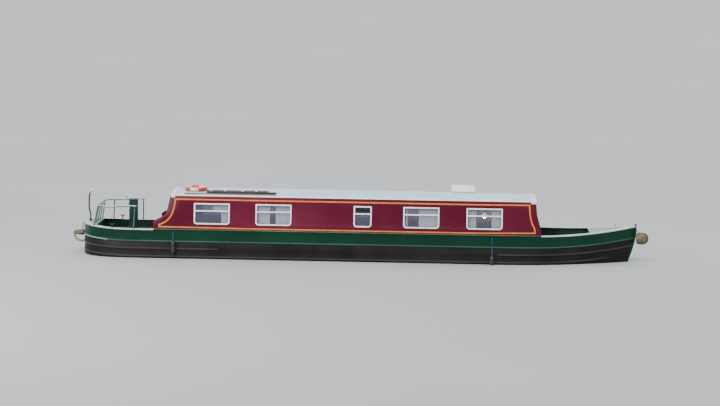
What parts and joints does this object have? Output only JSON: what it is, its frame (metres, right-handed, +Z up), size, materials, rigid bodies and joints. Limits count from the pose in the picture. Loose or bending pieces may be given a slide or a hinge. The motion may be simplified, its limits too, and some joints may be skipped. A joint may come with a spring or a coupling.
{
  "type": "narrowboat",
  "caption": "Steel narrowboat with a cruiser stern: long low cabin with framed windows, open wells fore and aft, guard rail, rudder and propeller.",
  "frame": {"origin": "middle of the boat's length and width, on the underside of the flat base plate", "axes": "+X towards the bow, +Y to port, +Z up; the water surface lies at Z = 0.5 m"},
  "size_m": [14.95, 2.238, 2.3446],
  "materials": {
    "hull_black": "bitumen blacking, satin, worn along the guards",
    "band_green": "gloss coach enamel",
    "deck_pale": "matt non-slip deck paint",
    "deck_brown": "weathered boards",
    "lining_green": "satin enamel",
    "cabin_maroon": "gloss coach enamel",
    "roof_pale": "matt non-slip deck paint",
    "frame_white": "white powder coat",
    "window_glass": "clear glass",
    "lace": "sheer white net",
    "door_maroon": "gloss enamel",
    "lifebuoy_red": "weathered moulded plastic",
    "plank_wood": "painted and worn timber",
    "steel_dark": "black paint, worn",
    "bronze": "dull cast bronze",
    "engine_grey": "painted casting",
    "lever_chrome": "chrome",
    "rail_green": "pale green enamel",
    "rope": "weathered woven rope",
    "fender_rubber": "black moulded fender",
    "lanyard_blue": "braided polypropylene"
  },
  "bodies": {
    "hull": {"base_plate": "hull_black", "stem_post": "hull_black", "stern_post": "hull_black", "hull_side_port": "hull_black", "hull_side_starboard": "hull_black", "top_strake_port": "band_green", "top_strake_starboard": "band_green", "uxter_plate": "hull_black", "after_deck": "deck_pale", "fore_deck": "deck_pale", "steerer_deck": "deck_brown", "well_deck": "deck_brown", "stern_lining": "lining_green", "bow_lining": "lining_green", "cabin_side_starboard": "cabin_maroon", "cabin_side_port": "cabin_maroon", "roof": "roof_pale", "aft_bulkhead": "cabin_maroon", "fore_bulkhead": "cabin_maroon", "cabin_floor": "deck_brown", "window_1_starboard": "frame_white", "window_1_port": "frame_white", "window_2_starboard": "frame_white", "window_2_port": "frame_white", "window_3_starboard": "frame_white", "window_3_port": "frame_white", "window_4_starboard": "frame_white", "window_4_port": "frame_white", "window_5_starboard": "frame_white", "window_5_port": "frame_white", "curtains_starboard": "lace", "curtains_port": "lace", "roof_hatch": "frame_white", "lifebuoy": "lifebuoy_red", "gangplank": "plank_wood", "boat_pole": "plank_wood", "engine": "engine_grey", "control_column": "lining_green", "control_lever": "lever_chrome", "stern_rail": "rail_green", "dolly_port": "rail_green", "dolly_starboard": "rail_green", "stern_fender": "rope", "bow_fender": "rope", "side_fender_1": "fender_rubber", "fender_lanyard_1": "lanyard_blue", "side_fender_2": "fender_rubber", "fender_lanyard_2": "lanyard_blue"},
    "rudder": {"rudder": "steel_dark", "tiller_post": "steel_dark"},
    "propeller": {"propeller": "bronze", "propeller_shaft": "steel_dark"},
    "stern_door_port": {"stern_door_port": "door_maroon"},
    "stern_door_starboard": {"stern_door_starboard": "door_maroon"},
    "bow_door_port": {"bow_door_port": "door_maroon"},
    "bow_door_starboard": {"bow_door_starboard": "door_maroon"},
    "hatch_lid": {"roof_hatch_lid": "frame_white"}
  },
  "joints": [
    {"name": "rudder_turn", "type": "hinge", "parent": "hull", "child": "rudder", "pos_m": [-7.03, 0, 0.5], "axis": [0, 0, 1], "range_deg": [-38, 38]},
    {"name": "propeller_spin", "type": "hinge", "parent": "hull", "child": "propeller", "pos_m": [-6.7, 0, 0.245], "axis": [1, 0, 0], "continuous": true},
    {"name": "stern_door_port_swing", "type": "hinge", "parent": "hull", "child": "stern_door_port", "pos_m": [-4.792, 0.322, 1.6], "axis": [0, 0, -1], "range_deg": [0, 165]},
    {"name": "stern_door_starboard_swing", "type": "hinge", "parent": "hull", "child": "stern_door_starboard", "pos_m": [-4.792, -0.322, 1.6], "axis": [0, 0, 1], "range_deg": [0, 165]},
    {"name": "bow_door_port_swing", "type": "hinge", "parent": "hull", "child": "bow_door_port", "pos_m": [4.472, 0.322, 1.4], "axis": [0, 0, 1], "range_deg": [0, 165]},
    {"name": "bow_door_starboard_swing", "type": "hinge", "parent": "hull", "child": "bow_door_starboard", "pos_m": [4.472, -0.322, 1.4], "axis": [0, 0, -1], "range_deg": [0, 165]},
    {"name": "hatch_lid_tilt", "type": "hinge", "parent": "hull", "child": "hatch_lid", "pos_m": [2.665, 0.512, 2.1743], "axis": [1, 0, 0], "range_deg": [-38, 52]}
  ]
}
